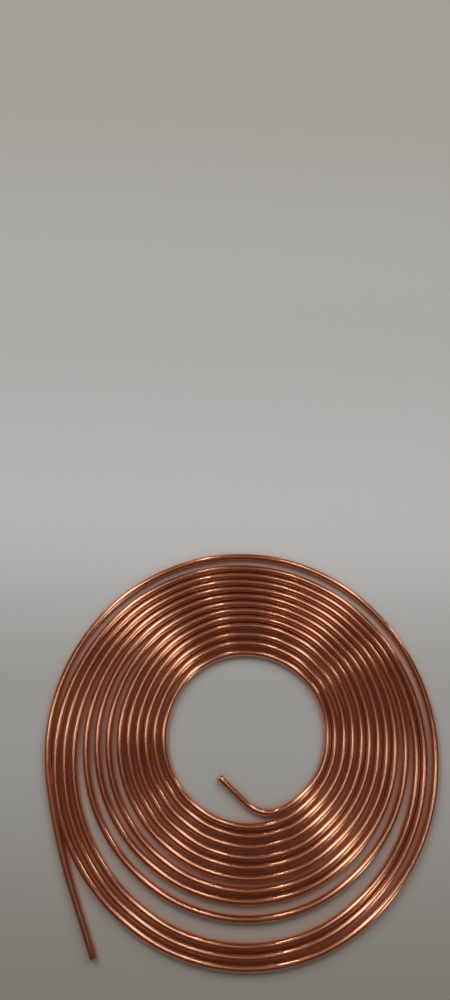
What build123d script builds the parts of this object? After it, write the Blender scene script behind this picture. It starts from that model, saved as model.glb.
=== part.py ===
from build123d import *
import os
from math import radians, sqrt, tan

# A flat coil of soft copper tube, one layer deep, lying on a level floor.
# Millimetres, +Z up. The origin is under the middle of the coil's outline, at floor level,
# and the near side of the coil faces -Y.

# tube
tube_od = 4.76
tube_wall = 0.89
tube_bore = tube_od - 2 * tube_wall

# reach of the first turn from the winding's centre, on its four sides
first_right = 57.6
first_far = 60.9
first_left = 55.7
first_near = 53.7

# clear gaps from each turn to the next one out, on the same four sides
right_gaps = [0.3, 1.5, 1.2, 1.3, 0.6, 1.3, 1.1, 1.0, 2.3, 2.4, 0.5, 3.1]
far_gaps = [1.8, 1.3, 1.7, 0.7, 0.4, 0.5, 0.6, 0.5, 0.4, 0.3, 0.5, 4.0]
left_gaps = [1.3, 1.4, 1.0, 1.4, 1.3, 2.9, 2.9, 2.8, 3.3, 1.5, 1.4, 0.9]
near_gaps = [1.0, 1.7, 1.8, 1.1, 1.7, 2.8, 1.3, 5.6, 10.9, 1.2, 1.4]

# both ends draw in towards the centre where they leave the winding on its near side
inner_draw_in = 6.7
outer_draw_in = 3.9

# inner end: the first turn opens into a short bend and a straight run across the eye
inner_lead_angle = 67.0
inner_bend_radius = 22.0
inner_bend_angle = 64.0
inner_run = 24.5

# outer end: the last turn opens into a long gentle curve and a straight run
outer_lead_radius = 130.0
outer_lead_angle = 13.0
outer_curve_radius = 380.0
outer_curve_angle = 10.5
outer_run = 40.0


def reach_of_turns(first_reach, gaps):
    reaches = [first_reach]
    for gap in gaps:
        reaches.append(reaches[-1] + tube_od + gap)
    return reaches


right_reaches = reach_of_turns(first_right, right_gaps)
far_reaches = reach_of_turns(first_far, far_gaps)
left_reaches = reach_of_turns(first_left, left_gaps)
near_reaches = reach_of_turns(first_near, near_gaps)
near_sides = near_reaches + [near_reaches[-1] - outer_draw_in]

# the sides in the order that the tube passes them, counterclockwise and outwards,
# with a near side before the first turn and one after the last
stations = [first_near - inner_draw_in]
for turn_sides in zip(right_reaches, far_reaches, left_reaches, near_sides):
    stations += turn_sides

# the winding's centre, set so that the coil's outline is centred on the origin
centre_x = (left_reaches[-1] - right_reaches[-1]) / 2
centre_y = (near_reaches[-1] - far_reaches[-1]) / 2

# a turn reaches furthest on each side midway between the sides before and after it,
# and two tangent arcs of an eighth of a turn join one such point to the next
eighth = 45.0
lean = tan(radians(eighth / 2))
spread = 2 - sqrt(2)
first_height = (first_far - stations[0]) / 2
inner_lead_radius = stations[0] + first_height

with BuildPart() as copper_tube:
    with BuildLine(Plane.XY.offset(tube_od / 2)) as centreline:
        first_point = (centre_x + first_right, centre_y + first_height)
        inner_lead = JernArc(first_point, (0, -1), inner_lead_radius, -inner_lead_angle)
        inner_bend = JernArc(inner_lead @ 1, inner_lead % 1, inner_bend_radius, -inner_bend_angle)
        inner_end = Line(inner_bend @ 1, (inner_bend @ 1) + (inner_bend % 1) * inner_run)

        point, heading = inner_lead @ 0, -(inner_lead % 0)
        for before, here, there, after in zip(stations, stations[1:], stations[2:], stations[3:]):
            inward, onward = (here + after) / 2, (before + there) / 2
            for radius in (onward - lean * inward) / spread, (inward - lean * onward) / spread:
                arc = JernArc(point, heading, radius, eighth)
                point, heading = arc @ 1, arc % 1

        outer_lead = JernArc(point, heading, outer_lead_radius, outer_lead_angle)
        outer_curve = JernArc(outer_lead @ 1, outer_lead % 1, outer_curve_radius, outer_curve_angle)
        outer_end = Line(outer_curve @ 1, (outer_curve @ 1) + (outer_curve % 1) * outer_run)
    path = centreline.wire()
    with BuildSketch(Plane(origin=path @ 0, z_dir=path % 0)):
        Circle(tube_od / 2)
        Circle(tube_bore / 2, mode=Mode.SUBTRACT)
    sweep(path=path)

copper_tube.part.label = "copper_tube"
print("tube length", round(path.length, 1), "volume", round(copper_tube.part.volume, 1))
print("inner tip", inner_end @ 1, "pointing", inner_end % 1)
print("outer tip", outer_end @ 1, "pointing", outer_end % 1)

os.makedirs("parts", exist_ok=True)
export_step(copper_tube.part, "parts/copper_tube.step")
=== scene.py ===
import bpy
import math
import numpy as np
from mathutils import Matrix, Vector


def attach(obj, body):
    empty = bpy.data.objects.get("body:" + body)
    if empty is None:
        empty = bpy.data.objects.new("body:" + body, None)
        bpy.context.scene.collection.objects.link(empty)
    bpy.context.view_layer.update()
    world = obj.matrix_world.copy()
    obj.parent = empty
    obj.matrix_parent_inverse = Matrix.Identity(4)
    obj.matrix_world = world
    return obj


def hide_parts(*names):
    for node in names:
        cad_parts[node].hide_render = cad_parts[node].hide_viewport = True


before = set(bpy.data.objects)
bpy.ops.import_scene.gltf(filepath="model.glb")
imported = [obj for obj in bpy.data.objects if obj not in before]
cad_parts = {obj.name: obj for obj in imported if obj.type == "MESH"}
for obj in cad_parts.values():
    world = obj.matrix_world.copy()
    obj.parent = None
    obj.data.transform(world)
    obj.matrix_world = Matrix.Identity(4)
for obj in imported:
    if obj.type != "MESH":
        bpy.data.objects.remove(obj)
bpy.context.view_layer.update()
# the coil's and the camera's lengths are in millimetres, the floor's and the lamps' in metres
mm = 0.001

# how the coil is wound: how far out the tube passes on each side of the winding's centre, with the
# sides in the order that it passes them
winding = {
    "tubeDiameter": 4.76,
    "firstReach": {"right": 57.6, "far": 60.9, "left": 55.7, "near": 53.7},
    "gaps": {  # clear gap from each turn to the next one out
        "right": [0.3, 1.5, 1.2, 1.3, 0.6, 1.3, 1.1, 1.0, 2.3, 2.4, 0.5, 3.1],
        "far": [1.8, 1.3, 1.7, 0.7, 0.4, 0.5, 0.6, 0.5, 0.4, 0.3, 0.5, 4.0],
        "left": [1.3, 1.4, 1.0, 1.4, 1.3, 2.9, 2.9, 2.8, 3.3, 1.5, 1.4, 0.9],
        "near": [1.0, 1.7, 1.8, 1.1, 1.7, 2.8, 1.3, 5.6, 10.9, 1.2, 1.4],
    },
    "drawIn": {"inner": 6.7, "outer": 3.9},  # how far both ends draw in where they leave the near side
    "innerLeadAngle": 67.0,
    "innerBend": (22.0, 64.0),  # radius and angle, as in the outer end's two curves
    "innerRun": 24.5,
    "outerLead": (130.0, 13.0),
    "outerCurve": (380.0, 10.5),
    "outerRun": 40.0,
    "curveSteps": 32,
}


def reachesOf(side):
    reaches = [winding["firstReach"][side]]
    for gap in winding["gaps"][side]:
        reaches.append(reaches[-1] + winding["tubeDiameter"] + gap)
    return reaches


def startWay(place, heading):
    return [{"place": place, "heading": math.radians(heading), "before": 0.0, "after": 0.0}]


def addKnot(way, place, heading, handle):
    way[-1]["after"] = handle
    way.append({"place": place, "heading": heading, "before": handle, "after": 0.0})


def addArc(way, radius, angle):
    place, heading = way[-1]["place"], way[-1]["heading"]
    turned = heading + math.radians(angle)
    signedRadius = math.copysign(radius, angle)
    centre = place + signedRadius * Vector((-math.sin(heading), math.cos(heading)))
    place = centre - signedRadius * Vector((-math.sin(turned), math.cos(turned)))
    # handles of this length keep a Bezier curve on the arc
    handle = 4 / 3 * math.tan(math.radians(abs(angle)) / 4) * radius
    addKnot(way, place, turned, handle)


def addRun(way, length):
    heading = way[-1]["heading"]
    place = way[-1]["place"] + length * Vector((math.cos(heading), math.sin(heading)))
    addKnot(way, place, heading, length / 3)  # handles of a third space its points evenly


def makeRoute():
    reaches = {side: reachesOf(side) for side in winding["firstReach"]}
    centreX = (reaches["left"][-1] - reaches["right"][-1]) / 2
    centreY = (reaches["near"][-1] - reaches["far"][-1]) / 2
    reaches["near"].append(reaches["near"][-1] - winding["drawIn"]["outer"])
    stations = [reaches["near"][0] - winding["drawIn"]["inner"]]
    for turn in zip(*reaches.values()):
        stations += turn
    firstHeight = (stations[2] - stations[0]) / 2
    firstPoint = Vector((centreX + stations[1], centreY + firstHeight))
    towardsNear, towardsFar = -90.0, 90.0  # headings are counted from the right

    # from the first turn inwards, to the end in the eye
    inwards = startWay(firstPoint, towardsNear)
    bendRadius, bendAngle = winding["innerBend"]
    addArc(inwards, stations[0] + firstHeight, -winding["innerLeadAngle"])
    addArc(inwards, bendRadius, -bendAngle)
    addRun(inwards, winding["innerRun"])

    # from the first turn outwards, two arcs to each side, to the end that leaves the coil
    outwards = startWay(firstPoint, towardsFar)
    eighth = 45.0
    lean = math.tan(math.radians(eighth / 2))
    spread = 2 - math.sqrt(2)
    for before, here, there, after in zip(stations, stations[1:], stations[2:], stations[3:]):
        inward, onward = (here + after) / 2, (before + there) / 2
        addArc(outwards, (onward - lean * inward) / spread, eighth)
        addArc(outwards, (inward - lean * onward) / spread, eighth)
    addArc(outwards, *winding["outerLead"])
    addArc(outwards, *winding["outerCurve"])
    addRun(outwards, winding["outerRun"])

    knots = [
        {"place": k["place"], "heading": k["heading"] + math.pi, "before": k["after"], "after": k["before"]}
        for k in reversed(inwards)
    ]
    knots[-1]["after"] = outwards[0]["after"]
    return knots + outwards[1:], Vector((centreX, centreY))


def makeCentreLine(knots):
    curve = bpy.data.curves.new("tubeCentreLine", "CURVE")
    curve.dimensions = "3D"
    curve.resolution_u = winding["curveSteps"]
    line = curve.splines.new("BEZIER")
    line.bezier_points.add(len(knots) - 1)
    height = winding["tubeDiameter"] / 2
    for point, knot in zip(line.bezier_points, knots):
        ahead = Vector((math.cos(knot["heading"]), math.sin(knot["heading"])))
        point.handle_left_type = point.handle_right_type = "FREE"
        point.co = knot["place"].to_3d() * mm + Vector((0, 0, height * mm))
        point.handle_left = point.co - (ahead * knot["before"] * mm).to_3d()
        point.handle_right = point.co + (ahead * knot["after"] * mm).to_3d()
    lineObject = bpy.data.objects.new("tubeCentreLine", curve)
    bpy.context.scene.collection.objects.link(lineObject)
    return lineObject


knots, windingCentre = makeRoute()
print("route of", len(knots), "knots, winding centre", windingCentre)

# the camera stands over the coil, and looks down and a little towards the far side
viewpoint = {
    "fromCentre": (-17.84, 3.40),  # along X and Y, from the winding's centre
    "height": 544.8,
    "tilt": 17.5,
    "roll": 1.5,
    "lens": 27.0,
    "sensor": 36.0,
    "clipStart": 20.0,
}


def placeCamera():
    camera = bpy.data.objects.new("camera", bpy.data.cameras.new("camera"))
    bpy.context.scene.collection.objects.link(camera)
    camera.data.sensor_width = viewpoint["sensor"]
    camera.data.lens = viewpoint["lens"]
    camera.data.clip_start = viewpoint["clipStart"] * mm
    eye = (windingCentre + Vector(viewpoint["fromCentre"])).to_3d() * mm
    eye.z = viewpoint["height"] * mm
    tilt = Matrix.Rotation(math.radians(viewpoint["tilt"]), 4, "X")
    roll = Matrix.Rotation(math.radians(viewpoint["roll"]), 4, "Z")
    camera.matrix_world = Matrix.Translation(eye) @ tilt @ roll
    bpy.context.scene.camera = camera


placeCamera()
print("camera placed")


def addNode(tree, kind, **settings):
    node = tree.nodes.new(kind)
    for name, value in settings.items():
        setattr(node, name, value)
    return node


def give(socket, value):
    # a socket gets another node's output, or a fixed value
    if isinstance(value, bpy.types.NodeSocket):
        socket.id_data.links.new(value, socket)
    else:
        socket.default_value = value


def feed(node, **inputs):
    # sets a node's inputs by name or, as in1, in2, by their order; _ stands for a space
    for name, value in inputs.items():
        key = int(name[2:]) - 1 if name[:2] == "in" else name.replace("_", " ")
        give(node.inputs[key], value)
    return node


def mathsNode(tree, operation, *values):
    node = addNode(tree, "ShaderNodeMath", operation=operation)
    feed(node, **{"in%d" % (i + 1): value for i, value in enumerate(values)})
    return node.outputs[0]


def remap(tree, value, span, result=(0.0, 1.0), smooth=False):
    # takes the two ends of span to the two of result, in a straight line or eased at both ends
    node = addNode(tree, "ShaderNodeMapRange", interpolation_type="SMOOTHSTEP" if smooth else "LINEAR")
    feed(node, Value=value, in2=span[0], in3=span[1], in4=result[0], in5=result[1])
    return node.outputs["Result"]


def mixColours(tree, share, first, second):
    mix = addNode(tree, "ShaderNodeMix", data_type="RGBA")
    give(mix.inputs[0], share)
    colours = [socket for socket in mix.inputs if socket.type == "RGBA"]
    for socket, value in zip(colours, (first, second)):
        give(socket, (*value, 1) if isinstance(value, tuple) else value)
    return [socket for socket in mix.outputs if socket.type == "RGBA"][0]


# a pattern has its size along and round the tube, and range is the part of it that shows
copperFinish = {
    "copper": (0.87, 0.455, 0.29),
    "roughness": (0.20, 0.24),
    "glossStretch": 0.8,  # how much wider the gloss spreads round the tube than along it
    "glossTurn": 0.25,  # of a full turn, from along the tube to round it
    "film": {"weight": 1.0, "roughness": 0.15, "ior": 1.6},  # thin and clear, glossier than the copper
    "dulled": (0.72, 0.31, 0.165),
    "dulledShare": 0.5,
    "patches": {"along": 90.0, "round": 9.0, "detail": 4.0, "grain": 0.6, "range": (0.35, 0.7)},
    # marks left along the tube when it was drawn, and slight unevenness left by winding it
    "streaks": {"along": 25.0, "round": 0.45, "detail": 2.0, "grain": 0.5, "range": (0.3, 0.7)},
    "streakDepth": 0.0018,
    "waves": {"along": 45.0, "round": 12.0, "detail": 1.0, "grain": 0.5},
    "waveDepth": 0.12,
    # towards the outer end, between these places along it, the tube goes darker and rougher
    "darkerOuterEnd": {"copper": (0.62, 0.27, 0.17), "from": 7470.0, "to": 7545.0, "rougher": 0.16},
    "cut": {"copper": (0.93, 0.60, 0.45), "roughness": 0.36},
    "cutMarks": {"width": 0.12, "depth": 0.01, "detail": 3.0},
    "bore": {"copper": (0.55, 0.30, 0.21), "roughness": (0.38, 0.62)},
    "boreFilm": {"along": 20.0, "round": 1.0, "detail": 3.0, "grain": 0.5, "range": (0.3, 0.7)},
}


def startMaterial(name, copper):
    material = bpy.data.materials.new(name)
    material.use_nodes = True
    material.diffuse_color = (*copper, 1)
    metal = material.node_tree.nodes["Principled BSDF"]
    feed(metal, Base_Color=(*copper, 1), Metallic=1.0)
    return material, material.node_tree, metal


def tubePlace(tree):
    # distance along the tube, and place across it
    return addNode(tree, "ShaderNodeAttribute", attribute_name="tubeCoord").outputs["Vector"]


def addPattern(tree, pattern):
    along, around = 1 / (pattern["along"] * mm), 1 / (pattern["round"] * mm)
    sized = feed(addNode(tree, "ShaderNodeMapping"), Vector=tubePlace(tree), Scale=(along, around, around))
    noise = feed(addNode(tree, "ShaderNodeTexNoise"), Vector=sized.outputs["Vector"], Scale=1.0)
    return feed(noise, Detail=pattern["detail"], Roughness=pattern["grain"]).outputs["Fac"]


def addBump(tree, height, depth, **under):
    bump = feed(addNode(tree, "ShaderNodeBump"), Height=height, Distance=depth * mm, Strength=1.0)
    return feed(bump, **under).outputs["Normal"]


def makeSkin():
    finish = copperFinish
    material, tree, metal = startMaterial("drawnCopper", finish["copper"])

    patches = addPattern(tree, finish["patches"])
    amount = remap(tree, patches, finish["patches"]["range"], (0.0, finish["dulledShare"]), smooth=True)
    drawn = mixColours(tree, amount, finish["copper"], finish["dulled"])
    along = feed(addNode(tree, "ShaderNodeSeparateXYZ"), Vector=tubePlace(tree)).outputs["X"]
    # the colour goes darker and the gloss rougher over the last part of the outer end
    darkerOuterEnd = finish["darkerOuterEnd"]
    towardsOuterEnd = remap(tree, along, (darkerOuterEnd["from"] * mm, darkerOuterEnd["to"] * mm), smooth=True)
    feed(metal, Base_Color=mixColours(tree, towardsOuterEnd, drawn, darkerOuterEnd["copper"]))

    streaks = addPattern(tree, finish["streaks"])
    gloss = remap(tree, streaks, finish["streaks"]["range"], finish["roughness"])
    rougher = mathsNode(tree, "MULTIPLY", towardsOuterEnd, darkerOuterEnd["rougher"])
    feed(metal, Roughness=mathsNode(tree, "ADD", gloss, rougher))

    # drawing through a die leaves marks along the tube, which spread its gloss round the tube
    ahead = addNode(tree, "ShaderNodeAttribute", attribute_name="tubeAhead").outputs["Vector"]
    feed(metal, Anisotropic=finish["glossStretch"], Anisotropic_Rotation=finish["glossTurn"], Tangent=ahead)
    film = finish["film"]
    feed(metal, Coat_Weight=film["weight"], Coat_Roughness=film["roughness"], Coat_IOR=film["ior"])

    waved = addBump(tree, addPattern(tree, finish["waves"]), finish["waveDepth"])
    feed(metal, Normal=addBump(tree, streaks, finish["streakDepth"], Normal=waved))
    return material


def makeCut():
    # the saw or cutter leaves fine rings round the end
    cut, cutMarks = copperFinish["cut"], copperFinish["cutMarks"]
    material, tree, metal = startMaterial("cutCopper", cut["copper"])
    feed(metal, Roughness=cut["roughness"])
    across = addNode(tree, "ShaderNodeVectorMath", operation="MULTIPLY")
    feed(across, in1=tubePlace(tree), in2=(0, 1, 1))  # leaves out the distance along the tube
    fromAxis = addNode(tree, "ShaderNodeVectorMath", operation="LENGTH")
    feed(fromAxis, in1=across.outputs[0])
    rings = mathsNode(tree, "MULTIPLY", fromAxis.outputs["Value"], 1 / (cutMarks["width"] * mm))
    marks = addNode(tree, "ShaderNodeTexNoise", noise_dimensions="1D")
    feed(marks, W=rings, Scale=1.0, Detail=cutMarks["detail"])
    feed(metal, Normal=addBump(tree, marks.outputs["Fac"], cutMarks["depth"]))
    return material


def makeBoreSkin():
    bore, boreFilm = copperFinish["bore"], copperFinish["boreFilm"]
    material, tree, metal = startMaterial("boreCopper", bore["copper"])
    feed(metal, Roughness=remap(tree, addPattern(tree, boreFilm), boreFilm["range"], bore["roughness"]))
    return material


materials = {"Skin": makeSkin(), "Cut": makeCut(), "Bore": makeBoreSkin()}
print("copper finishes made")

copperTube = {
    "Tube Radius": winding["tubeDiameter"] / 2 * mm,
    "Bore Radius": 1.49 * mm,
    "Rim Inset": 0.2 * mm,  # the cutter rolls the rim in a little
    "Rim Length": 0.35 * mm,
    "Rim Power": 0.5,  # 1 makes the rim a plain chamfer, and less rounds it
    "Face Depth": 0.001 * mm,  # how deep the cut face is from its rim to the bore
    "Ring Spacing": 3.0 * mm,
    "Bore Ring Spacing": 8.0 * mm,
    "Weld Distance": 0.0003 * mm,
    "Sides": 24,
    "Rim Rings": 5,
    "Face Rings": 2,
}


def makeTubeTree():
    tree = bpy.data.node_groups.new("tubeAlongLine", "GeometryNodeTree")
    tree.is_modifier = True
    tree.interface.new_socket("Line", in_out="INPUT", socket_type="NodeSocketGeometry")
    for name, value in copperTube.items():
        kind = "NodeSocketInt" if isinstance(value, int) else "NodeSocketFloat"
        tree.interface.new_socket(name, in_out="INPUT", socket_type=kind)
    for name in materials:
        tree.interface.new_socket(name, in_out="INPUT", socket_type="NodeSocketMaterial")
    tree.interface.new_socket("Tube", in_out="OUTPUT", socket_type="NodeSocketGeometry")
    given = addNode(tree, "NodeGroupInput").outputs
    length = feed(addNode(tree, "GeometryNodeCurveLength"), Curve=given["Line"]).outputs["Length"]

    def partOfLine(start, end):
        part = addNode(tree, "GeometryNodeTrimCurve", mode="LENGTH")
        return feed(part, Curve=given["Line"], in5=start, in6=end).outputs["Curve"], start

    def inRings(line, count):
        rings = addNode(tree, "GeometryNodeResampleCurve", mode="COUNT")
        return feed(rings, Curve=line, Count=count).outputs["Curve"]

    def inSteps(line, step):
        rings = addNode(tree, "GeometryNodeResampleCurve", mode="LENGTH")
        return feed(rings, Curve=line, Length=step).outputs["Curve"]

    def between(first, last, rolled=False, backwards=False):
        # a radius that goes from first to last along the part of the line, or back along it
        share = addNode(tree, "GeometryNodeSplineParameter").outputs["Factor"]
        if backwards:
            share = mathsNode(tree, "SUBTRACT", 1.0, share)
        if rolled:
            share = mathsNode(tree, "POWER", share, given["Rim Power"])
        return remap(tree, share, (0.0, 1.0), (first, last))

    def keep(mesh, name, value, kind="FLOAT_VECTOR", domain="POINT"):
        node = addNode(tree, "GeometryNodeStoreNamedAttribute", data_type=kind, domain=domain)
        return feed(node, Geometry=mesh, Name=name, Value=value).outputs["Geometry"]

    def wall(line, start, radius, surface, inside=False):
        level = feed(addNode(tree, "GeometryNodeSetCurveNormal", mode="Z_UP"), Curve=line)
        along = addNode(tree, "GeometryNodeCaptureAttribute", domain="POINT")
        along.capture_items.new("FLOAT", "Along")
        along.capture_items.new("FLOAT", "Reach")
        along.capture_items.new("VECTOR", "Ahead")
        fromStart = addNode(tree, "GeometryNodeSplineParameter").outputs["Length"]
        distance = mathsNode(tree, "ADD", fromStart, start)
        ahead = addNode(tree, "GeometryNodeInputTangent").outputs["Tangent"]
        feed(along, Geometry=level.outputs["Curve"], Along=distance, Reach=radius, Ahead=ahead)
        ring = addNode(tree, "GeometryNodeCurvePrimitiveCircle", mode="RADIUS")
        feed(ring, Radius=1.0, Resolution=given["Sides"])
        around = addNode(tree, "GeometryNodeCaptureAttribute", domain="POINT")
        around.capture_items.new("VECTOR", "Around")
        onRing = addNode(tree, "GeometryNodeInputPosition").outputs["Position"]
        feed(around, Geometry=ring.outputs["Curve"], Around=onRing)
        swept = addNode(tree, "GeometryNodeCurveToMesh")
        feed(swept, Curve=along.outputs["Geometry"], Profile_Curve=around.outputs["Geometry"], Scale=radius)

        # each point keeps its distance along the tube, its place across it and the way ahead
        across = addNode(tree, "ShaderNodeVectorMath", operation="SCALE")
        feed(across, in1=around.outputs["Around"], Scale=along.outputs["Reach"])
        parts = feed(addNode(tree, "ShaderNodeSeparateXYZ"), Vector=across.outputs["Vector"])
        place = addNode(tree, "ShaderNodeCombineXYZ")
        feed(place, X=along.outputs["Along"], Y=parts.outputs["X"], Z=parts.outputs["Y"])
        mesh = keep(swept.outputs["Mesh"], "tubeCoord", place.outputs["Vector"])
        mesh = keep(mesh, "tubeAhead", along.outputs["Ahead"])
        if inside:
            mesh = feed(addNode(tree, "GeometryNodeFlipFaces"), Mesh=mesh).outputs["Mesh"]
        smooth = addNode(tree, "GeometryNodeSetShadeSmooth")
        feed(smooth, Geometry=mesh, Shade_Smooth=surface != "Cut")
        return keep(smooth.outputs[0], "surface", list(materials).index(surface), "INT", "FACE")

    tubeRadius, boreRadius, depth = given["Tube Radius"], given["Bore Radius"], given["Face Depth"]
    rimRadius = mathsNode(tree, "SUBTRACT", tubeRadius, given["Rim Inset"])
    rimLength, rimRings, faceRings = given["Rim Length"], given["Rim Rings"], given["Face Rings"]
    lastRim = mathsNode(tree, "SUBTRACT", length, rimLength)
    lastFace = mathsNode(tree, "SUBTRACT", length, depth)

    walls = []
    line, start = partOfLine(rimLength, lastRim)
    walls.append(wall(inSteps(line, given["Ring Spacing"]), start, tubeRadius, "Skin"))
    line, start = partOfLine(depth, rimLength)
    radius = between(rimRadius, tubeRadius, rolled=True)
    walls.append(wall(inRings(line, rimRings), start, radius, "Skin"))
    line, start = partOfLine(lastRim, lastFace)
    radius = between(rimRadius, tubeRadius, rolled=True, backwards=True)
    walls.append(wall(inRings(line, rimRings), start, radius, "Skin"))
    line, start = partOfLine(0.0, depth)
    walls.append(wall(inRings(line, faceRings), start, between(boreRadius, rimRadius), "Cut"))
    line, start = partOfLine(lastFace, length)
    walls.append(wall(inRings(line, faceRings), start, between(rimRadius, boreRadius), "Cut"))
    line = inSteps(given["Line"], given["Bore Ring Spacing"])
    walls.append(wall(line, 0.0, boreRadius, "Bore", inside=True))

    joined = addNode(tree, "GeometryNodeJoinGeometry")
    for mesh in walls:
        tree.links.new(mesh, joined.inputs[0])
    welded = addNode(tree, "GeometryNodeMergeByDistance")
    feed(welded, Geometry=joined.outputs[0], Distance=given["Weld Distance"])
    clad = feed(addNode(tree, "GeometryNodeRealizeInstances"), Geometry=welded.outputs[0]).outputs[0]
    surface = addNode(tree, "GeometryNodeInputNamedAttribute", data_type="INT")
    feed(surface, Name="surface")
    for i, name in enumerate(materials):  # each one overwrites the one before on its own faces
        isThis = addNode(tree, "FunctionNodeCompare", data_type="INT", operation="GREATER_EQUAL")
        feed(isThis, in3=surface.outputs["Attribute"], in4=i)
        part = addNode(tree, "GeometryNodeSetMaterial")
        clad = feed(part, Geometry=clad, Selection=isThis.outputs[0], Material=given[name]).outputs[0]
    feed(addNode(tree, "NodeGroupOutput"), Tube=clad)
    return tree


def applyTree(source, tree, name, settings):
    # runs the tree on the source object and keeps the result as a plain mesh
    modifier = source.modifiers.new("build", "NODES")
    modifier.node_group = tree
    for socket in tree.interface.items_tree:
        if socket.in_out == "INPUT" and socket.name in settings:
            modifier[socket.identifier] = settings[socket.name]
    bpy.context.view_layer.update()
    graph = bpy.context.evaluated_depsgraph_get()
    built = source.evaluated_get(graph)
    mesh = bpy.data.meshes.new_from_object(built, preserve_all_data_layers=True, depsgraph=graph)
    mesh.name = name
    source.modifiers.remove(modifier)
    if mesh.materials[0] is None:  # joining bare meshes leaves an empty slot
        mesh.materials.pop(index=0)
    piece = bpy.data.objects.new(name, mesh)
    bpy.context.scene.collection.objects.link(piece)
    return piece


# sizes on the map are shares of its side
bakeMap = {
    "strips": 23,  # the tube's length is cut into this many strips, one above the other
    "endMargin": 0.015,
    "skinRow": 0.033,
    "boreRow": 0.008,
    "rowFill": 0.86,
    "faceRadius": 0.012,
    "facesAcross": (1.5, 4.0),  # where the cut faces' middles are, in radii from the left
    "facesDown": 1.5,  # and from the top
}


def layOutMap(piece):
    # a map for baking or painting, with the tube's length across it
    mesh = piece.data
    along = np.empty(len(mesh.vertices) * 3)
    mesh.attributes["tubeCoord"].data.foreach_get("vector", along)
    corner = np.empty(len(mesh.loops), dtype=int)
    mesh.loops.foreach_get("vertex_index", corner)
    starts, counts, kinds = (np.empty(len(mesh.polygons), dtype=int) for _ in range(3))
    mesh.polygons.foreach_get("loop_start", starts)
    mesh.polygons.foreach_get("loop_total", counts)
    mesh.polygons.foreach_get("material_index", kinds)
    face = np.repeat(np.arange(len(starts)), counts)
    place = along.reshape(-1, 3)[corner]
    kind = np.array([m.name for m in mesh.materials])[kinds][face]

    # the way round the tube as a share of a turn, and never split inside a face
    turn = np.arctan2(place[:, 2], place[:, 1]) / (2 * math.pi)
    turn = turn[starts][face] + (turn - turn[starts][face] + 0.5) % 1 - 0.5
    turn -= np.floor(np.add.reduceat(turn, starts) / counts)[face]

    stripLength = place[:, 0].max() / bakeMap["strips"]
    middle = np.add.reduceat(place[:, 0], starts) / counts
    strip = np.clip(middle // stripLength, 0, bakeMap["strips"] - 1)[face]
    across = bakeMap["endMargin"] + (1 - 2 * bakeMap["endMargin"]) * (place[:, 0] / stripLength - strip)
    row = strip + (1 - bakeMap["rowFill"]) / 2 + bakeMap["rowFill"] * turn
    boreUp = bakeMap["boreRow"] * row + bakeMap["skinRow"] * bakeMap["strips"]
    up = np.where(kind == materials["Bore"].name, boreUp, bakeMap["skinRow"] * row)

    # both cut faces lie flat in the top corner
    faceRadius = bakeMap["faceRadius"]
    firstAcross, lastAcross = bakeMap["facesAcross"]
    scale = faceRadius / copperTube["Tube Radius"]
    isCut = kind == materials["Cut"].name
    faceMiddle = np.where(strip > 0, lastAcross, firstAcross) * faceRadius
    across = np.where(isCut, faceMiddle + scale * place[:, 1], across)
    up = np.where(isCut, 1 - bakeMap["facesDown"] * faceRadius + scale * place[:, 2], up)
    uvMap = mesh.uv_layers.new(name="OFBake", do_init=False)
    uvMap.data.foreach_set("uv", np.stack([across, up], 1).ravel())
    print("map runs from", across.min(), up.min(), "to", across.max(), up.max())
    print("faces by finish", {m.name: int((kinds == i).sum()) for i, m in enumerate(mesh.materials)})


centreLine = makeCentreLine(knots)
tube = applyTree(centreLine, makeTubeTree(), "tubeCoil", {**copperTube, **materials})
bpy.data.objects.remove(centreLine)
layOutMap(tube)
print("tube made with", len(tube.data.polygons), "faces and finishes", [m.name for m in tube.data.materials])
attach(tube, "root")
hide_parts("copper_tube")

floorLook = {
    "halfSize": 4.0,
    "paintedFloorTones": [  # painted light and shade on the floor: distance from the coil's middle towards the far side, and the colour there, darkest just in front of the coil and lightest just beyond it
        (-0.42, (0.42, 0.415, 0.40)),
        (-0.16, (0.23, 0.228, 0.205)),
        (0.02, (0.32, 0.328, 0.322)),
        (0.16, (0.48, 0.49, 0.49)),
        (0.35, (0.40, 0.41, 0.405)),
        (0.60, (0.345, 0.34, 0.31)),
    ],
    "paintedBounceShade": (0.42, 0.14, 0.065),  # painted shade and copper bounce light on the floor in its gaps
    # how open a place on the floor is, and how much it keeps of its bare tone; the rest is painted shade and
    # bounce light
    "openness": [(0.28, (0, 0, 0)), (0.60, (0.78, 0.78, 0.78)), (1.0, (1, 1, 1))],
    "paintedShadeReach": 0.014,
    "paintedShadeSamples": 16,
    "roughness": 0.7,
    "background": (0.42, 0.415, 0.40),
    "fade": (0.75, 1.3),  # the floor goes over into the background between these distances
}


def makeRamp(tree, value, stops, interpolation="LINEAR"):
    ramp = feed(addNode(tree, "ShaderNodeValToRGB"), Fac=value)
    ramp.color_ramp.interpolation = interpolation
    elements = ramp.color_ramp.elements
    elements.remove(elements[1])
    elements[0].position = stops[0][0]
    for i, (position, colour) in enumerate(stops):
        element = elements.new(position) if i else elements[0]
        element.color = (*colour, 1)
    return ramp.outputs["Color"]


def raysThatSee(tree):
    # the camera's own rays, and those that are mirrored or let through by what it sees
    rays = addNode(tree, "ShaderNodeLightPath").outputs
    mirrored = mathsNode(tree, "MAXIMUM", rays["Is Glossy Ray"], rays["Is Transmission Ray"])
    return rays["Is Camera Ray"], mirrored


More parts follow.
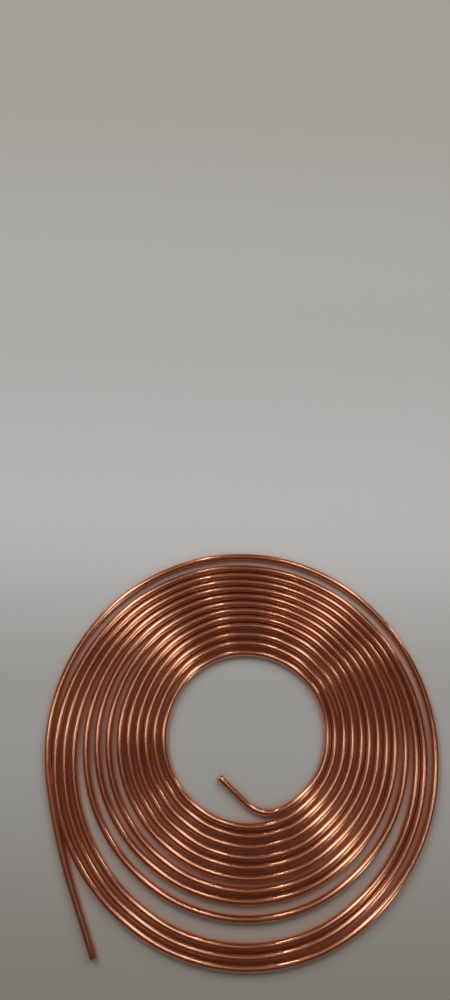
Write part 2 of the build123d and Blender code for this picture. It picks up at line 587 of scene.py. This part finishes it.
def makeFloorMaterial():
    material = bpy.data.materials.new("paleFloor")
    material.use_nodes = True
    tree = material.node_tree
    surface = tree.nodes["Principled BSDF"]
    # painted light and shade: the floor's colour goes lighter and darker with distance towards the far side,
    # for light falling off towards the near side and shade in front of the coil
    place = addNode(tree, "ShaderNodeTexCoord").outputs["Object"]
    farwards = feed(addNode(tree, "ShaderNodeSeparateXYZ"), Vector=place).outputs["Y"]
    first, last = floorLook["paintedFloorTones"][0][0], floorLook["paintedFloorTones"][-1][0]
    paintedFloorTones = [((distance - first) / (last - first), colour) for distance, colour in floorLook["paintedFloorTones"]]
    paintedFloorLight = makeRamp(tree, remap(tree, farwards, (first, last)), paintedFloorTones, "EASE")

    # painted shade and painted copper bounce light on the floor, in the narrow gaps between turns and just
    # beside the tubes, by how enclosed each place is
    openness = addNode(tree, "ShaderNodeAmbientOcclusion", samples=floorLook["paintedShadeSamples"])
    feed(openness, Distance=floorLook["paintedShadeReach"])
    bare = makeRamp(tree, openness.outputs["AO"], floorLook["openness"])
    feed(surface, Base_Color=mixColours(tree, bare, floorLook["paintedBounceShade"], paintedFloorLight))
    feed(surface, Roughness=floorLook["roughness"])

    # far from the coil it turns into the background, for the rays that see it
    distance = feed(addNode(tree, "ShaderNodeVectorMath", operation="LENGTH"), in1=place).outputs["Value"]
    far = remap(tree, distance, floorLook["fade"], smooth=True)
    seen = mathsNode(tree, "MAXIMUM", *raysThatSee(tree))
    pale = feed(addNode(tree, "ShaderNodeEmission"), Color=(*floorLook["background"], 1))
    blend = addNode(tree, "ShaderNodeMixShader")
    feed(blend, in1=mathsNode(tree, "MULTIPLY", far, seen))
    feed(blend, in2=surface.outputs["BSDF"], in3=pale.outputs["Emission"])
    feed(tree.nodes["Material Output"], Surface=blend.outputs["Shader"])
    return material


def makeFloor():
    size = floorLook["halfSize"]
    mesh = bpy.data.meshes.new("floor")
    corners = [(-size, -size, 0), (size, -size, 0), (size, size, 0), (-size, size, 0)]
    mesh.from_pydata(corners, [], [(0, 1, 2, 3)])
    mesh.materials.append(makeFloorMaterial())
    floor = bpy.data.objects.new("floor", mesh)
    bpy.context.scene.collection.objects.link(floor)


makeFloor()
print("floor made")

# azimuth is counted from the near side towards the right, zenith from straight up, wide and tall
# are the angles that a lamp fills seen from the coil, and share is what it gives of the plain level
studio = {
    "lampDistance": 2.0,
    "fillDistance": 4.0,
    "world": (0.086, 0.031, 0.015),  # the dim warm room that the copper mirrors
    "horizon": 0.15,  # how high the copper still mirrors the background, 1 being straight up
    "lamps": {
        "windowLeft": {"azimuth": 219, "zenith": 37, "wide": 7, "tall": 50, "share": 0.080},
        "windowRight": {"azimuth": 144, "zenith": 38, "wide": 6, "tall": 58, "share": 0.052},
        "sideLamp": {"azimuth": 265, "zenith": 25, "wide": 5, "tall": 20, "share": 0.022},
        "nearLamp": {"azimuth": 47, "zenith": 52, "wide": 5, "tall": 20, "share": 0.022},
        "lowLamp": {"azimuth": 124, "zenith": 61, "wide": 5, "tall": 12, "share": 0.014},
        "farLampRight": {"azimuth": 161, "zenith": 33, "wide": 2, "tall": 3, "share": 0.020},
        "farLampLeft": {"azimuth": 191, "zenith": 44, "wide": 2, "tall": 3, "share": 0.023},
        "topLamp": {"azimuth": 76, "zenith": 15, "wide": 6, "tall": 8, "share": 0.012},
        "ceiling": {"azimuth": 180, "zenith": 4, "wide": 18, "tall": 18, "share": 0.007},
    },
    "fills": {
        "fillLeft": {"azimuth": 215, "zenith": 52, "wide": 24, "tall": 34, "share": 0.31},
        "fillRight": {"azimuth": 148, "zenith": 52, "wide": 24, "tall": 34, "share": 0.26},
        "fillNear": {"azimuth": 30, "zenith": 40, "wide": 26, "tall": 20, "share": 0.05},
        "fillSide": {"azimuth": 320, "zenith": 40, "wide": 26, "tall": 20, "share": 0.05},
    },
    "daylight": (1.0, 0.985, 0.975),
    "warm": (1.0, 0.90, 0.76),
    "sky": (0.96, 1.0, 1.02),
    "warmLamps": ("nearLamp", "lowLamp", "farLampRight", "farLampLeft"),
}


def hangLamp(name, settings, distance, colour):
    lamp = bpy.data.lights.new(name, "AREA")
    lamp.shape = "RECTANGLE"
    lamp.size = 2 * distance * math.tan(math.radians(settings["wide"]) / 2)
    lamp.size_y = 2 * distance * math.tan(math.radians(settings["tall"]) / 2)
    lamp.color = colour
    azimuth, zenith = math.radians(settings["azimuth"]), math.radians(settings["zenith"])
    # a lamp that fills the solid angle a with glow g gives a share of g a cos(zenith) / pi
    solidAngle = lamp.size * lamp.size_y / distance**2
    glow = settings["share"] * math.pi / (solidAngle * math.cos(zenith))
    lamp.energy = glow * math.pi * lamp.size * lamp.size_y
    sideways = math.sin(zenith)
    outward = Vector((math.sin(azimuth) * sideways, -math.cos(azimuth) * sideways, math.cos(zenith)))
    lampObject = bpy.data.objects.new(name, lamp)
    lampObject.location = outward * distance
    lampObject.rotation_euler = outward.to_track_quat("Z", "Y").to_euler()
    bpy.context.scene.collection.objects.link(lampObject)
    return lampObject


def lightWorld(tree):
    # the camera sees the background all round, and the copper mirrors it near the horizon only
    direction = addNode(tree, "ShaderNodeTexCoord").outputs["Generated"]
    height = feed(addNode(tree, "ShaderNodeSeparateXYZ"), Vector=direction).outputs["Z"]
    low = remap(tree, height, (0.0, studio["horizon"]), (1.0, 0.0), smooth=True)
    camera, mirrored = raysThatSee(tree)
    pale = mathsNode(tree, "MAXIMUM", camera, mathsNode(tree, "MULTIPLY", mirrored, low))
    colour = mixColours(tree, pale, studio["world"], floorLook["background"])
    feed(tree.nodes["Background"], Color=colour, Strength=1.0)


for lampName, lampSettings in studio["lamps"].items():
    lampColour = studio["warm" if lampName in studio["warmLamps"] else "daylight"]
    hangLamp(lampName, lampSettings, studio["lampDistance"], lampColour)
for lampName, lampSettings in studio["fills"].items():
    fill = hangLamp(lampName, lampSettings, studio["fillDistance"], studio["sky"])
    fill.visible_glossy = False  # lights the floor, and isn't mirrored in the copper
world = bpy.data.worlds.new("studioWorld")
bpy.context.scene.world = world
world.use_nodes = True
lightWorld(world.node_tree)
bpy.context.scene.view_settings.view_transform = "Standard"
print("lights hung")
